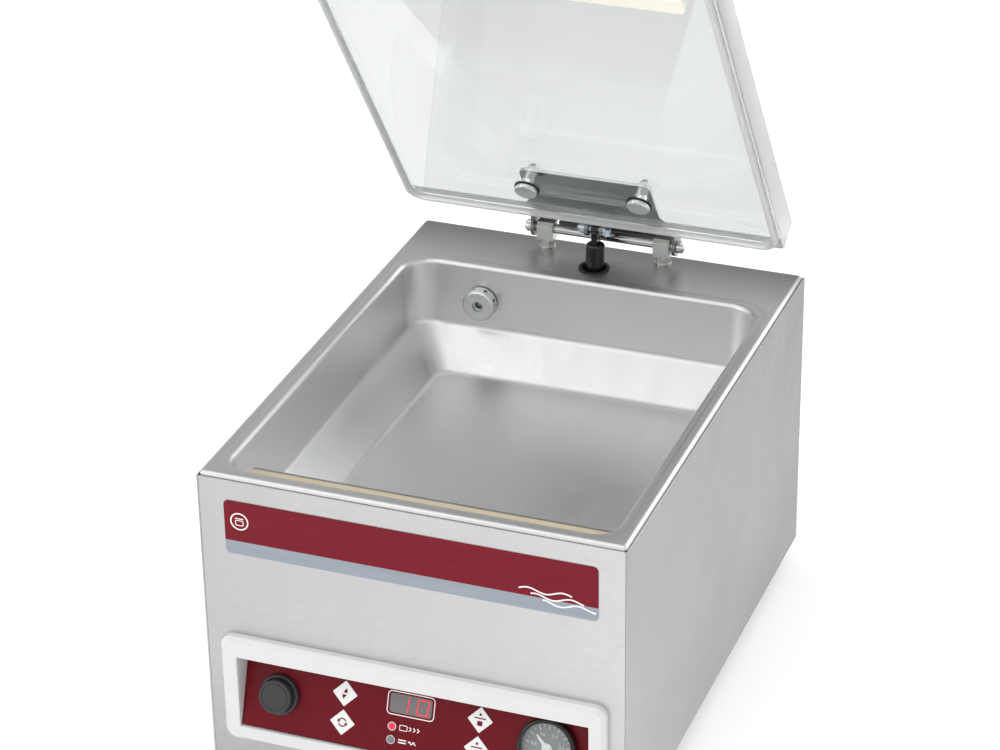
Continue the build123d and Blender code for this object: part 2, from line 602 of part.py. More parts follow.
def make_controls():
    bezel_z = (42, 133)
    flange = Plane.XZ.offset(-fy(0)) * Pos(0, sum(bezel_z) / 2) * RectangleRounded(302, 91, 9)
    bezel = extrude(flange, BEZEL_REACH)
    bezel = chamfer(bezel.faces().sort_by(Axis.Y)[0].edges(), 3.0)
    bezel += block((-143, 143), (fy(0), fy(24)), (51, 124))
    opening_x = (-OPENING_HALF_WIDTH, OPENING_HALF_WIDTH)
    opening = block(opening_x, (fy(-9), fy(30)), (55, 116))
    bezel -= opening
    mouth = bezel.faces().sort_by(Axis.Y)[0].edges().filter_by(
        lambda edge: abs(edge.center().X) < OPENING_HALF_WIDTH + 1 and 54 < edge.center().Z < 117
    )
    bezel = fillet(mouth, 1.2)
    fascia_x = (-OPENING_HALF_WIDTH + 0.4, OPENING_HALF_WIDTH - 0.4)
    fascia = block(fascia_x, (0.5, 62.5), (-FASCIA_THICKNESS, 0))
    back_cut = block((-143, 143), (-30, 90), (-60, -FASCIA_THICKNESS))
    bezel -= on_panel(back_cut) & block((-138.5, 138.5), (fy(-9), fy(60)), (40, 124))
    keep("control_bezel", bezel)

    for x, y in KEYS.values():
        fascia -= diamond(x, y, KEY_SIDE + 2 * KEY_GAP, -3, 1)
    fascia -= disc(*SWITCH, -3, 1, 14.4)
    fascia -= disc(*GAUGE, -3, 1, 20.2)
    window = RectangleRounded(33, 14.5, 2)
    fascia -= Pos(*WINDOW, -3) * extrude(window, 4)
    for x, y in LAMPS.values():
        fascia -= disc(x, y, -3, 1, 2.6)
    keep("control_fascia", on_panel(fascia))

    for name, (x, y) in KEYS.items():
        keep(name, on_panel(fillet(diamond(x, y, KEY_SIDE, -1.3, 0.3).edges().filter_by(Axis.Z), 0.6)))

    collar = disc(*SWITCH, 0, 4.5, 15.6)
    collar = fillet(edges_at(collar, 4.5), 1.6)
    collar += disc(*SWITCH, -14, 0, 14.3) + disc(*SWITCH, -27, -14, 10)
    collar -= disc(*SWITCH, -10, 5, CAP_RADIUS + SLIDE_GAP)
    collar -= disc(*SWITCH, -22, -9, 4.5)
    keep("switch_collar", on_panel(collar))
    cap = disc(*SWITCH, -4, 11.5, CAP_RADIUS)
    cap = fillet(edges_at(cap, 11.5), 1.6)
    cap -= disc(*SWITCH, 11.1, 12, 10.6) - disc(*SWITCH, 11.0, 12.5, 9.9)
    cap += disc(*SWITCH, -16, -4, 4.0)
    keep("switch_cap", on_panel(cap))

    lens = Pos(*WINDOW, -FASCIA_THICKNESS) * extrude(window, FASCIA_THICKNESS + 0.1)
    keep("display_window", on_panel(lens))
    zero = ("top", "bottom", "upper_left", "upper_right", "lower_left", "lower_right")
    digits = digit(WINDOW[0] - 6.2, WINDOW[1], ("upper_right", "lower_right"))
    digits += digit(WINDOW[0] + 9.6, WINDOW[1], zero)
    keep("display_digits", *[on_panel(piece) for piece in digits])
    for name, (x, y) in LAMPS.items():
        lamp = disc(x, y, -5, 0.9, 2.5)
        keep(name, on_panel(fillet(edges_at(lamp, 0.9), 0.8)))

    case = disc(*GAUGE, 0, 7, 22.5)
    case = fillet(edges_at(case, 7), 1.8)
    case += disc(*GAUGE, -26, 0, 20.0) + disc(*GAUGE, -38, -26, 5.0)
    case -= disc(*GAUGE, 1.5, 8, DIAL_RADIUS + 0.1)
    case -= disc(*GAUGE, -4, 2, 1.1)
    keep("gauge_case", on_panel(case))
    keep("gauge_dial", on_panel(disc(*GAUGE, 1.5, 2.0, DIAL_RADIUS) - disc(*GAUGE, 1, 3, 1.1)))
    keep("gauge_glass", on_panel(disc(*GAUGE, 5.0, 6.2, DIAL_RADIUS + 0.1)))
    needle = Polyline((-6, -1.3), (-6, 1.3), (3, 1.5), (12.5, 0.6), (12.5, -0.6), (3, -1.5), close=True)
    pointer = Pos(*GAUGE, 3.0) * Rot(0, 0, 135) * extrude(make_face(needle), 0.5)
    pointer += disc(*GAUGE, 2.8, 4.2, 3.8) + disc(*GAUGE, -3.5, 2.8, 1.0)
    keep("gauge_pointer", on_panel(pointer))

    board = block((-80, 78), (3, 56), (-16, -14.4))
    board += block((-23, 13), (31, 48.5), (-14.4, -FASCIA_THICKNESS - 0.1))
    for x in (-76, 74):
        for y in (7, 52):
            board += disc(x, y, -14.4, -FASCIA_THICKNESS, 3)
    for x, y, size in ((30, 26, 12), (-38, 30, 14), (24, 10, 8)):
        board += block((x - size / 2, x + size / 2), (y - 4, y + 4), (-14.4, -11.5))
    for step in range(4):
        board += disc(-50 + 16 * step, 12, -28, -16, 4.5)
    keep("control_board", on_panel(board))


def hose(points, radius, bends):
    """Round hose along straight runs joined by arcs."""
    path = FilletPolyline(*points, radius=bends)
    start = Plane(origin=path @ 0, z_dir=path % 0)
    return sweep(start * Circle(radius), path=path)


def make_inside():
    centre_x = PUMP_X
    mount_top = BASE_TOP + MOUNT_HEIGHT
    centre_z = mount_top + PUMP_HALF_WIDTH
    pump_x = (centre_x - PUMP_HALF_WIDTH, centre_x + PUMP_HALF_WIDTH)
    pump = block(pump_x, (fy(290), fy(368)), (mount_top, centre_z + 42))
    pump = fillet(pump.edges().filter_by(Axis.Y), 8)
    for step in range(6):
        y = fy(298 + 11 * step)
        pump += block((centre_x - 49, centre_x + 49), (y, y + 3), (centre_z - 30, centre_z + 34))
    pump -= bar((centre_x, fy(288), centre_z), (centre_x, fy(320), centre_z), 12)
    pump += bar((FITTING_X, fy(366), LOWER_PORT_Z), (FITTING_X, fy(376), LOWER_PORT_Z), 7)
    pump -= bar((FITTING_X, fy(360), LOWER_PORT_Z), (FITTING_X, fy(377), LOWER_PORT_Z), 4)
    keep("pump_body", pump)

    motor = bar((centre_x, fy(176), centre_z), (centre_x, fy(290), centre_z), 38)
    for step in range(24):
        fin = Pos(centre_x, fy(233), centre_z) * Rot(0, 15 * step, 0) * Pos(0, 0, 40) * Box(2.2, 96, 10)
        motor += fin
    motor += tube((centre_x, fy(150), centre_z), (centre_x, fy(179), centre_z), 43, 41)
    motor += tube((centre_x, fy(176), centre_z), (centre_x, fy(179), centre_z), 43, 37)
    for x in (centre_x - 34, centre_x + 34):
        for y in (fy(200), fy(266)):
            motor += block((x - 9, x + 9), (y - 9, y + 9), (mount_top, centre_z - 20))
    motor -= bar((centre_x, fy(180), centre_z), (centre_x, fy(291), centre_z), MOTOR_INSIDE)
    motor -= bar((centre_x, fy(170), centre_z), (centre_x, fy(181), centre_z), SHAFT_RADIUS + PIN_PLAY)
    keep("pump_motor", motor)

    shaft = bar((centre_x, fy(154), centre_z), (centre_x, fy(316), centre_z), SHAFT_RADIUS)
    shaft += bar((centre_x, fy(186), centre_z), (centre_x, fy(280), centre_z), MOTOR_INSIDE - 3)
    shaft += bar((centre_x, fy(156), centre_z), (centre_x, fy(168), centre_z), 12)
    for step in range(7):
        turn = Rot(0, 360 / 7 * step, 0)
        shaft += Pos(centre_x, fy(162), centre_z) * turn * Pos(0, 0, 24) * Rot(0, 0, 30) * Box(1.6, 9, 26)
    keep("motor_rotor", shaft)

    mounts = []
    for x in (centre_x - 34, centre_x + 34):
        for y in (fy(200), fy(266), fy(300), fy(358)):
            mounts.append(disc(x, y, BASE_TOP, mount_top, 8.5))
    keep("pump_mounts", *mounts)

    valve_y = fy(424)
    valve = block((FITTING_X - 28, FITTING_X + 30), (fy(408), fy(436)), (150, 196))
    for x in (FITTING_X - 16, FITTING_X + 18):
        valve += bar((x, fy(408), 160), (x, fy(384), 160), 10)
    valve += disc(FITTING_X, valve_y, 196, 204, 6.5)
    valve += disc(FITTING_X, valve_y, 142, 150, 6.5)
    valve -= disc(FITTING_X, valve_y, 141, 205, 4)
    valve += block((FITTING_X - 26, FITTING_X + 28), (fy(436), fy(BODY_DEPTH - SHEET)), (164, 182))
    keep("valve_block", valve)

    upper_run = [(FITTING_X, fy(400), FITTING_Z), (FITTING_X, valve_y, FITTING_Z), (FITTING_X, valve_y, 204)]
    lower_run = [(FITTING_X, valve_y, 142), (FITTING_X, valve_y, LOWER_PORT_Z)]
    lower_run += [(FITTING_X, fy(376), LOWER_PORT_Z)]
    keep("vacuum_hoses", hose(upper_run, HOSE_RADIUS, 18), hose(lower_run, HOSE_RADIUS, 30))

    gauge_back = PANEL.location * Pos(*GAUGE, -38)
    start = gauge_back.position
    inward = Vector(0, math.cos(TILT), -math.sin(TILT))
    run = [tuple(start), tuple(start + inward * 34), (150, fy(130), 60), (150, fy(330), 150)]
    run += [(150, fy(422), 172), (FITTING_X + 30, fy(422), 172)]
    keep("gauge_tube", hose(run, 2.5, 20))

    core = block((62, 132), (fy(250), fy(312)), (BASE_TOP, BASE_TOP + 60))
    winding = block((77, 117), (fy(238), fy(324)), (BASE_TOP + 12, BASE_TOP + 48))
    winding = fillet(winding.edges().filter_by(Axis.Z), 8)
    keep("transformer", core + winding)

    rear = fy(BODY_DEPTH)
    inlet = block((92, 128), (rear, rear + 2.5), (42, 72))
    inlet = fillet(inlet.edges().filter_by(Axis.Y), 4)
    inlet += block((96.3, 123.7), (rear - 26, rear), (46.3, 67.7))
    inlet -= block((98.5, 121.5), (rear - 16, rear + 4), (48.5, 65.5))
    for x, z in ((103, 55), (110, 60), (117, 55)):
        inlet += block((x - 1, x + 1), (rear - 18, rear - 4), (z - 2.2, z + 2.2))
    keep("mains_inlet", inlet)


make_case()
make_tray()
make_hinge()
make_lid()
make_gas_spring()
make_seal_bar()
make_controls()
make_inside()
for name, shape in PARTS.items():
    export_step(shape, "parts/" + name + ".step")
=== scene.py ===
import json
import math

import bmesh
import bpy
from mathutils import Matrix, Vector


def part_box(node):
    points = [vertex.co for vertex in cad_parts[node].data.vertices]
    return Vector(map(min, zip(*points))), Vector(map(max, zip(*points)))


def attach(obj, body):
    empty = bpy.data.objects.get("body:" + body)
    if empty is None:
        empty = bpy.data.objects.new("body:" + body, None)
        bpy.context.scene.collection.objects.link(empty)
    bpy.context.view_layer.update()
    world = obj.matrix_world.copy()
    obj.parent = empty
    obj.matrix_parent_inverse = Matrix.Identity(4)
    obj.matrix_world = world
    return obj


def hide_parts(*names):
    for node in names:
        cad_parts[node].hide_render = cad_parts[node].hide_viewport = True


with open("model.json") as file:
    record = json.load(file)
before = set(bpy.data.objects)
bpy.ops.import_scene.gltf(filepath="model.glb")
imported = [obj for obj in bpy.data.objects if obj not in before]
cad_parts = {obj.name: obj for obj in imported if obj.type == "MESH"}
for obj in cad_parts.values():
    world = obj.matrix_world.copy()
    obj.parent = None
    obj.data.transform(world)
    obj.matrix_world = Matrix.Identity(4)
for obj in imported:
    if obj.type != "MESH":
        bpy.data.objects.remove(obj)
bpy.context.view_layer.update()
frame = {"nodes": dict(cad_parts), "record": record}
NODES = frame["nodes"]
MM = 0.001

# Places that other places are worked out from, in millimetres in the frame's own axes.
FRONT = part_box("front_panel")[0].y / MM
CASE_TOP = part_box("side_panel_left")[1].z / MM
TRAY_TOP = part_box("chamber_tray")[1].z / MM
OPEN_ANGLE = 55.0
AXLE = Vector((0.0, FRONT + 433.0, CASE_TOP + 19.5))
LID_BOTTOM = TRAY_TOP + 6.3
PANEL_TILT = math.radians(19.5)
TAPE_EDGE = FRONT + 40.0


def behind(distance):
    """Y of a place this far behind the front face of the case."""
    return FRONT + distance


def rgb(red, green, blue):
    """A display colour from 0 to 255 as the linear colour that shaders take."""
    linear = []
    for value in (red, green, blue):
        share = value / 255
        linear.append(share / 12.92 if share < 0.04045 else ((share + 0.055) / 1.055) ** 2.4)
    return (*linear, 1.0)


def shade(colour, factor):
    return (*[min(1.0, value * factor) for value in colour[:3]], 1.0)


def colour_sockets(sockets):
    """Those of a mix node's sockets that carry colour."""
    return [socket for socket in sockets if socket.type == "RGBA"]


# ---------------------------------------------------------------- materials


class Finish:
    """One procedural material: a principled shader and the noises that vary it."""

    def __init__(self, title, **sockets):
        self.material = bpy.data.materials.new(title)
        self.material.use_nodes = True
        self.tree = self.material.node_tree
        self.shader = self.tree.nodes["Principled BSDF"]
        for socket, value in sockets.items():
            name = socket.replace("_", " ").title().replace("Ior", "IOR")
            self.shader.inputs[name].default_value = value
        self.place = self.node("ShaderNodeTexCoord").outputs["Object"]
        self.normal = None

    def node(self, kind, **settings):
        made = self.tree.nodes.new(kind)
        for name, value in settings.items():
            setattr(made, name, value)
        return made

    def link(self, source, target):
        self.tree.links.new(source, target)

    def noise(self, scale, detail=3.0, stretch=(1, 1, 1), distortion=0.0):
        """Noise over the object's own place, with cells stretched along chosen axes."""
        mapping = self.node("ShaderNodeMapping")
        mapping.inputs["Scale"].default_value = stretch
        self.link(self.place, mapping.inputs["Vector"])
        made = self.node("ShaderNodeTexNoise")
        made.inputs["Scale"].default_value = scale
        made.inputs["Detail"].default_value = detail
        made.inputs["Distortion"].default_value = distortion
        self.link(mapping.outputs["Vector"], made.inputs["Vector"])
        return made.outputs["Fac"]

    def between(self, source, low, high, start=0.3, end=0.7):
        """The source's range start to end, spread over low to high."""
        made = self.node("ShaderNodeMapRange")
        spread = {"From Min": start, "From Max": end, "To Min": low, "To Max": high}
        for name, value in spread.items():
            made.inputs[name].default_value = value
        self.link(source, made.inputs["Value"])
        return made.outputs["Result"]

    def blend(self, factor, first, second):
        """Colour that goes from first to second with the factor. Either may be a socket."""
        made = self.node("ShaderNodeMix", data_type="RGBA")
        self.link(factor, made.inputs["Factor"])
        for socket, value in zip(colour_sockets(made.inputs), (first, second)):
            if isinstance(value, tuple):
                socket.default_value = value
            else:
                self.link(value, socket)
        return colour_sockets(made.outputs)[0]

    def varied(self, source, colour, darkest, lightest):
        """The colour, from darkest to lightest share of itself with the source."""
        share = self.between(source, 0, 1)
        return self.blend(share, shade(colour, darkest), shade(colour, lightest))

    def along(self, axis):
        """The place's coordinate on one axis, in metres."""
        split = self.node("ShaderNodeSeparateXYZ")
        self.link(self.place, split.inputs["Vector"])
        return split.outputs[axis]

    def painted_fade(self, tone, axis, start, end, factor):
        """The tone, multiplied by a factor past the end of a fade along one axis, as painted shade.

        The fade runs from start to end, in millimetres.
        """
        dark = self.node("ShaderNodeMix", data_type="RGBA", blend_type="MULTIPLY")
        dark.inputs["Factor"].default_value = 1.0
        tone_socket, factor_socket = colour_sockets(dark.inputs)
        self.link(tone, tone_socket)
        factor_socket.default_value = (factor, factor, factor, 1.0)
        past = self.between(self.along(axis), 0, 1, start * MM, end * MM)
        return self.blend(past, tone, colour_sockets(dark.outputs)[0])

    def set(self, socket, source):
        """Feeds one of the shader's sockets from a source."""
        self.link(source, self.shader.inputs[socket])
        return self

    def bump(self, height, strength, distance):
        made = self.node("ShaderNodeBump")
        made.inputs["Strength"].default_value = strength
        made.inputs["Distance"].default_value = distance
        self.link(height, made.inputs["Height"])
        if self.normal is not None:
            self.link(self.normal, made.inputs["Normal"])
        self.normal = made.outputs["Normal"]
        self.link(self.normal, self.shader.inputs["Normal"])
        return self

    def soft_edges(self, radius):
        """Catches light along hard edges, as a broken or rolled edge does."""
        made = self.node("ShaderNodeBevel", samples=4)
        made.inputs["Radius"].default_value = radius
        self.normal = made.outputs["Normal"]
        self.link(self.normal, self.shader.inputs["Normal"])
        return self


SKIN_RELIEF = 0.0001
TOOL_RELIEF = 0.00005


def satin_steel(
    name, colour, roughness, stretch=(1, 1, 1), grain=0.05, edge=0.0004, wear=0.05, fades=()
):
    """Stainless sheet: fine grain, faint cloudiness and wiped marks.

    It is brushed along the short axis of stretch, and each fade in turn darkens it as painted
    shade.
    """
    made = Finish(name, metallic=1.0)
    if edge:
        made.soft_edges(edge)
    fine = made.noise(scale=420, detail=4.0, stretch=stretch)
    cloud = made.noise(scale=7, distortion=0.6)
    wiped = made.noise(scale=26, detail=4.0, stretch=(1.0, 0.5, 0.35), distortion=1.2)
    tone = made.varied(fine, colour, 1 - wear, 1 + wear)
    tone = made.blend(made.between(cloud, low=0, high=0.5), tone, shade(colour, 0.93))
    # Painted shade: each fade darkens the colour where less light falls.
    for fade in fades:
        tone = made.painted_fade(tone, *fade)
    made.set("Base Color", tone)
    rough = made.node("ShaderNodeMath", operation="ADD")
    made.link(made.between(fine, roughness - 0.05, roughness + 0.05), rough.inputs[0])
    made.link(made.between(wiped, low=-0.03, high=0.05), rough.inputs[1])
    made.set("Roughness", rough.outputs[0])
    if grain:
        made.bump(fine, grain, SKIN_RELIEF)
    return made


def machined(name, colour, roughness, edge=0.0003):
    """Turned or plated metal with fine tool marks and a slightly uneven polish."""
    made = Finish(name, metallic=1.0)
    made.soft_edges(edge)
    marks = made.noise(scale=900, detail=2.0, stretch=(1.0, 1.0, 0.12))
    patch = made.noise(scale=60)
    made.set("Base Color", made.varied(patch, colour, 0.9, 1.06))
    made.set("Roughness", made.between(patch, roughness * 0.75, roughness * 1.3))
    return made.bump(marks, 0.06, TOOL_RELIEF)


def moulded(name, colour, roughness, grain_scale=1400, grain=0.12, edge=0.0003, patchy=0.055):
    """Moulded plastic or rubber with a fine skin, handled a little smoother in patches."""
    made = Finish(name)
    made.soft_edges(edge)
    skin_grain = made.noise(grain_scale)
    handled = made.noise(scale=45, distortion=0.5)
    made.set("Base Color", made.varied(handled, colour, 1 - patchy, 1 + patchy))
    made.set("Roughness", made.between(handled, roughness - 0.07, roughness + 0.07))
    return made.bump(skin_grain, grain, SKIN_RELIEF)


def printed_film(name, colour, roughness=0.34, streak=0.06):
    """Printed polyester film: even ink with faint drawn streaks and a low sheen."""
    made = Finish(name, specular_ior_level=0.2)
    streaks = made.noise(scale=300, stretch=(0.05, 1.0, 1.0))
    cloud = made.noise(scale=12)
    ink = made.varied(streaks, colour, 1 - streak, 1 + streak)
    made.set("Base Color", made.blend(made.between(cloud, 0, 0.35), ink, shade(colour, 0.86)))
    made.set("Roughness", made.between(cloud, roughness - 0.05, roughness + 0.06))
    return made.bump(made.noise(scale=1800, detail=2.0), 0.05, TOOL_RELIEF)


def label_film(name, red, grey, split_height):
    """The front label: dark red above a blue-grey stripe."""
    made = Finish(name, specular_ior_level=0.2)
    streaks = made.noise(scale=260, stretch=(0.04, 1.0, 1.0))
    above = made.node("ShaderNodeMath", operation="GREATER_THAN")
    above.inputs[1].default_value = split_height * MM
    made.link(made.along("Z"), above.inputs[0])
    red_ink = made.varied(streaks, red, 0.9, 1.1)
    grey_ink = made.varied(streaks, grey, 0.94, 1.05)
    made.set("Base Color", made.blend(above.outputs[0], grey_ink, red_ink))
    made.set("Roughness", made.between(streaks, 0.3, 0.42))
    return made.bump(streaks, 0.04, TOOL_RELIEF)


def clear(name, colour, roughness, ior, haze, through=1.0):
    """Clear plastic or glass with a few fine wiping marks.

    It looks milky where less light goes through.
    """
    made = Finish(name, transmission_weight=through, ior=ior, specular_ior_level=0.5)
    marks = made.noise(scale=140, detail=4.0, stretch=(1.0, 0.12, 0.3), distortion=0.8)
    made.set("Roughness", made.between(marks, roughness, roughness + haze, start=0.5, end=0.75))
    made.set("Base Color", made.varied(made.noise(scale=9), colour, 1.0, 0.985))
    return made.bump(made.noise(scale=30, detail=2.0), 0.004, SKIN_RELIEF)


def glass_cloth(name, beige, scorched, metal, edge_place):
    """Beige coated glass-cloth tape with its plain weave showing, and bare metal past its edge."""
    made = Finish(name, roughness=0.5, sheen_weight=0.1)
    waves = []
    for axis in ("X", "Y"):
        wave = made.node("ShaderNodeTexWave", wave_type="BANDS", bands_direction=axis)
        wave.inputs["Scale"].default_value = 260
        wave.inputs["Distortion"].default_value = 0.4
        made.link(made.place, wave.inputs["Vector"])
        waves.append(wave.outputs["Fac"])
    weave = made.node("ShaderNodeMath", operation="MULTIPLY")
    made.link(waves[0], weave.inputs[0])
    made.link(waves[1], weave.inputs[1])
    crossed = made.between(weave.outputs[0], 0, 1, start=0, end=1)
    cloth = made.blend(crossed, shade(beige, 0.9), shade(beige, 1.08))
    scorch = made.noise(scale=40, stretch=(1.0, 0.3, 1.0))
    bare = made.between(made.along("Y"), 0, 1, edge_place * MM, (edge_place + 0.3) * MM)
    made.set("Metallic", bare)
    tone = made.blend(bare, cloth, metal)
    made.set("Base Color", made.blend(made.between(scorch, 0, 0.4, 0.55, 0.8), tone, scorched))
    made.set("Roughness", made.between(scorch, 0.42, 0.58))
    return made.bump(weave.outputs[0], 0.2, SKIN_RELIEF)


def glowing(name, colour, strength):
    """A lit lens or digit, or painted glow on an unlit part: coloured plastic with an even glow and
    a faint inner unevenness.
    """
    made = Finish(name, roughness=0.25, emission_strength=strength)
    tone = made.varied(made.noise(scale=700, detail=2.0), colour, 0.85, 1.1)
    made.set("Base Color", tone).set("Emission Color", tone)
    return made


# Painted shade: each fade gives an axis, where it starts and ends in millimetres, and the factor
# past its end.
# The case's front is painted darker towards its left and its bottom: painted shade.
FRONT_PAINTED_SHADE = [("X", 165, -165, 0.86), ("Z", 110, 20, 0.84)]
# The tray's top is painted darker towards the rear, and a little darker than the chamber below it:
# painted shade.
TRAY_PAINTED_SHADE = [
    ("Y", behind(386), behind(440), 0.5),
    ("Z", TRAY_TOP - 2.5, TRAY_TOP - 0.2, 0.84),
]
# The side and back panels are painted darker towards the rear and the top: painted shade.
SIDE_PAINTED_SHADE = [
    ("Y", behind(20), behind(450), 0.72),
    ("Z", CASE_TOP - 150, CASE_TOP, 0.84),
]
# The hinge plate is painted much darker below the height of the open lid's lower edge: painted
# shade under the lid.
HINGE_PAINTED_SHADE = [("Z", CASE_TOP + 50, CASE_TOP + 38, 0.32)]
LABEL_SPLIT = CASE_TOP - 49.9

STEEL = rgb(203, 203, 203)
# Painted shade: the side and back panels' steel is the case's steel made darker.
SIDE_STEEL_SHADED = rgb(183, 183, 183)
TRAY_STEEL = rgb(222, 222, 223)
HINGE_STEEL = rgb(224, 226, 224)
GLOSS_BLACK = rgb(20, 20, 21)
SILICONE = rgb(243, 239, 226)
SLAB_TINT = rgb(219, 222, 221)
WHITE = rgb(255, 255, 255)

MATERIALS = {}


def add_material(maker, name, *values, **options):
    """Makes a material and keeps it under its name."""
    MATERIALS[name] = maker(name, *values, **options)


add_material(satin_steel, "steel_case", STEEL, 0.42, (0.35, 0.35, 1.0), fades=FRONT_PAINTED_SHADE)
# Painted shade: the case's steel, darker, for the side and back panels.
add_material(satin_steel, "steel_side", SIDE_STEEL_SHADED, 0.44, (0.5, 0.2, 1.0), fades=SIDE_PAINTED_SHADE)
add_material(
    satin_steel, "steel_tray", TRAY_STEEL, 0.39, grain=0.0, edge=0.0, wear=0.03, fades=TRAY_PAINTED_SHADE
)
add_material(satin_steel, "steel_base", rgb(186, 189, 192), 0.4)
add_material(label_film, "label_print", rgb(116, 8, 30), rgb(148, 156, 165), LABEL_SPLIT)
add_material(
    moulded, "bezel_plastic", rgb(216, 216, 216), 0.42, 900, grain=0.08, edge=0.0008, patchy=0.015
)
add_material(printed_film, "fascia_print", rgb(104, 0, 18))
add_material(printed_film, "key_print", rgb(238, 238, 237), 0.4, streak=0.02)
add_material(printed_film, "window_smoke", rgb(122, 119, 121), 0.3, streak=0.01)
add_material(glowing, "digit_light", rgb(226, 44, 52), 0.7)
add_material(glowing, "lamp_red", rgb(238, 40, 66), 0.6)
add_material(moulded, "lamp_grey", rgb(120, 124, 122), 0.25, 1800, grain=0.05)
add_material(moulded, "switch_black", rgb(44, 45, 48), 0.42, 1600, grain=0.35, edge=0.0005)
add_material(moulded, "gauge_black", GLOSS_BLACK, 0.16, 900, grain=0.03, edge=0.0005)
add_material(printed_film, "gauge_face", rgb(172, 173, 177), 0.5, streak=0.02)
add_material(clear, "clear_glass", rgb(250, 252, 251), 0.0, ior=1.48, haze=0.03)
# The needle is no lamp: its glow is painted light that keeps it bright.
add_material(glowing, "needle_white", rgb(240, 240, 238), 0.25)
add_material(moulded, "board_green", rgb(24, 92, 52), 0.45, 500, grain=0.2)
add_material(satin_steel, "transformer_steel", rgb(92, 92, 96), 0.5, (1, 12, 1), grain=0.3)
add_material(machined, "pump_casting", rgb(176, 178, 180), 0.5)
add_material(moulded, "motor_paint", rgb(56, 60, 66), 0.4, 700, grain=0.3)
add_material(machined, "rotor_steel", rgb(150, 150, 150), 0.35)
add_material(moulded, "rubber_black", rgb(26, 26, 27), 0.55, 1100, grain=0.3, edge=0.0005)
add_material(machined, "valve_brass", rgb(206, 172, 96), 0.3)
add_material(moulded, "tube_clear", rgb(206, 214, 218), 0.2, 500, grain=0.05)
add_material(machined, "bar_aluminium", rgb(206, 208, 210), 0.36)
add_material(machined, "heat_strip", rgb(140, 132, 124), 0.3)
add_material(
    glass_cloth, "tape_beige", rgb(204, 189, 160), rgb(180, 156, 120), rgb(150, 151, 152), TAPE_EDGE
)
add_material(machined, "fitting_steel", rgb(206, 209, 207), 0.34, edge=0.0006)
add_material(clear, "lid_clear", SLAB_TINT, 0.0, ior=1.56, haze=0.015)
add_material(clear, "lid_edge", rgb(248, 249, 249), 0.42, ior=1.4, haze=0.1, through=0.62)
add_material(clear, "gasket_pale", rgb(240, 241, 241), 0.3, ior=1.3, haze=0.05, through=0.55)
add_material(moulded, "holder_white", rgb(240, 240, 238), 0.35, 900, grain=0.06, patchy=0.012)
add_material(moulded, "silicone_cream", SILICONE, 0.45, 700, grain=0.08, patchy=0.012)
add_material(
    satin_steel, "hinge_steel", HINGE_STEEL, 0.32, (0.1, 1, 1), 0.08, 0.0005, fades=HINGE_PAINTED_SHADE
)
add_material(machined, "block_steel", rgb(206, 209, 204), 0.4, edge=0.0006)
add_material(machined, "bolt_steel", rgb(208, 213, 211), 0.18, edge=0.0005)
add_material(machined, "zinc_bolt", rgb(196, 210, 222), 0.22, edge=0.0005)
add_material(moulded, "sleeve_clear", rgb(246, 247, 247), 0.25, 900, grain=0.04, patchy=0.01)
add_material(moulded, "strut_black", GLOSS_BLACK, 0.2, 900, grain=0.04, edge=0.0005)
add_material(machined, "rod_chrome", rgb(216, 216, 214), 0.12, edge=0.0004)
add_material(printed_film, "print_white", rgb(250, 249, 247), 0.4, streak=0.01)
add_material(printed_film, "print_red", rgb(112, 18, 36), 0.4, streak=0.03)

# CAD nodes that take another finish than their record slot names.
CAD_LOOKS = {
    "side_panel_left": "steel_side",
    "side_panel_right": "steel_side",
    "back_panel": "steel_side",
    "hinge_blocks": "block_steel",
    "hinge_nuts": "block_steel",
}


def dress_cad_nodes():
    """Gives each CAD node its finish."""
    for part in frame["record"]["subparts"]:
        node = NODES[part["node"]]
        node.data.materials.clear()
        look = CAD_LOOKS.get(part["node"], part["material_slot"])
        node.data.materials.append(MATERIALS[look].material)


# ---------------------------------------------------------------- mesh tools


def level_ring(half_width, front, rear, height, front_radius, rear_radius, steps=12):
    """A level loop with rounded corners, always with the same number of points."""
    corners = [
        (half_width - rear_radius, rear - rear_radius, rear_radius, 0),
        (rear_radius - half_width, rear - rear_radius, rear_radius, 90),
        (front_radius - half_width, front + front_radius, front_radius, 180),
        (half_width - front_radius, front + front_radius, front_radius, 270),
    ]
    points = []
    for x, y, radius, start in corners:
        for step in range(steps + 1):
            angle = math.radians(start + 90 * step / steps)
            across, along = radius * math.cos(angle), radius * math.sin(angle)
            points.append(Vector((x + across, y + along, height)))
    return points


def inset_ring(outline, inset, height, corner):
    """A level loop drawn in from an outline.

    The outline gives half the width, and how far behind the case's front it starts and ends.
    """
    half_width, front, rear = outline
    return level_ring(
        half_width - inset, behind(front + inset), behind(rear - inset), height, corner, corner
    )


def circle(x, y, height, radius, steps=48):
    turn = 2 * math.pi / steps
    return [
        Vector((x + radius * math.cos(turn * step), y + radius * math.sin(turn * step), height))
        for step in range(steps)
    ]


def add_loop(mesh, points):
    return [mesh.verts.new(point * MM) for point in points]


def skin(mesh, loops, closed=False):
    """Quads between neighbouring loops that have the same number of points."""
    pairs = list(zip(loops, loops[1:]))
    if closed:
        pairs.append((loops[-1], loops[0]))
    for low, high in pairs:
        count = len(low)
        for index in range(count):
            after = (index + 1) % count
            mesh.faces.new((low[index], low[after], high[after], high[index]))


def loop_edges(mesh, loop):
    edges = []
    for index, vert in enumerate(loop):
        after = loop[(index + 1) % len(loop)]
        edges.append(mesh.edges.get((vert, after)) or mesh.edges.new((vert, after)))
    return edges


def flat_fill(mesh, loops):
    """Fills the level area between an outer loop and the holes in it."""
    edges = []
    for loop in loops:
        edges += loop_edges(mesh, loop)
    bmesh.ops.triangle_fill(mesh, use_beauty=True, use_dissolve=False, edges=edges)


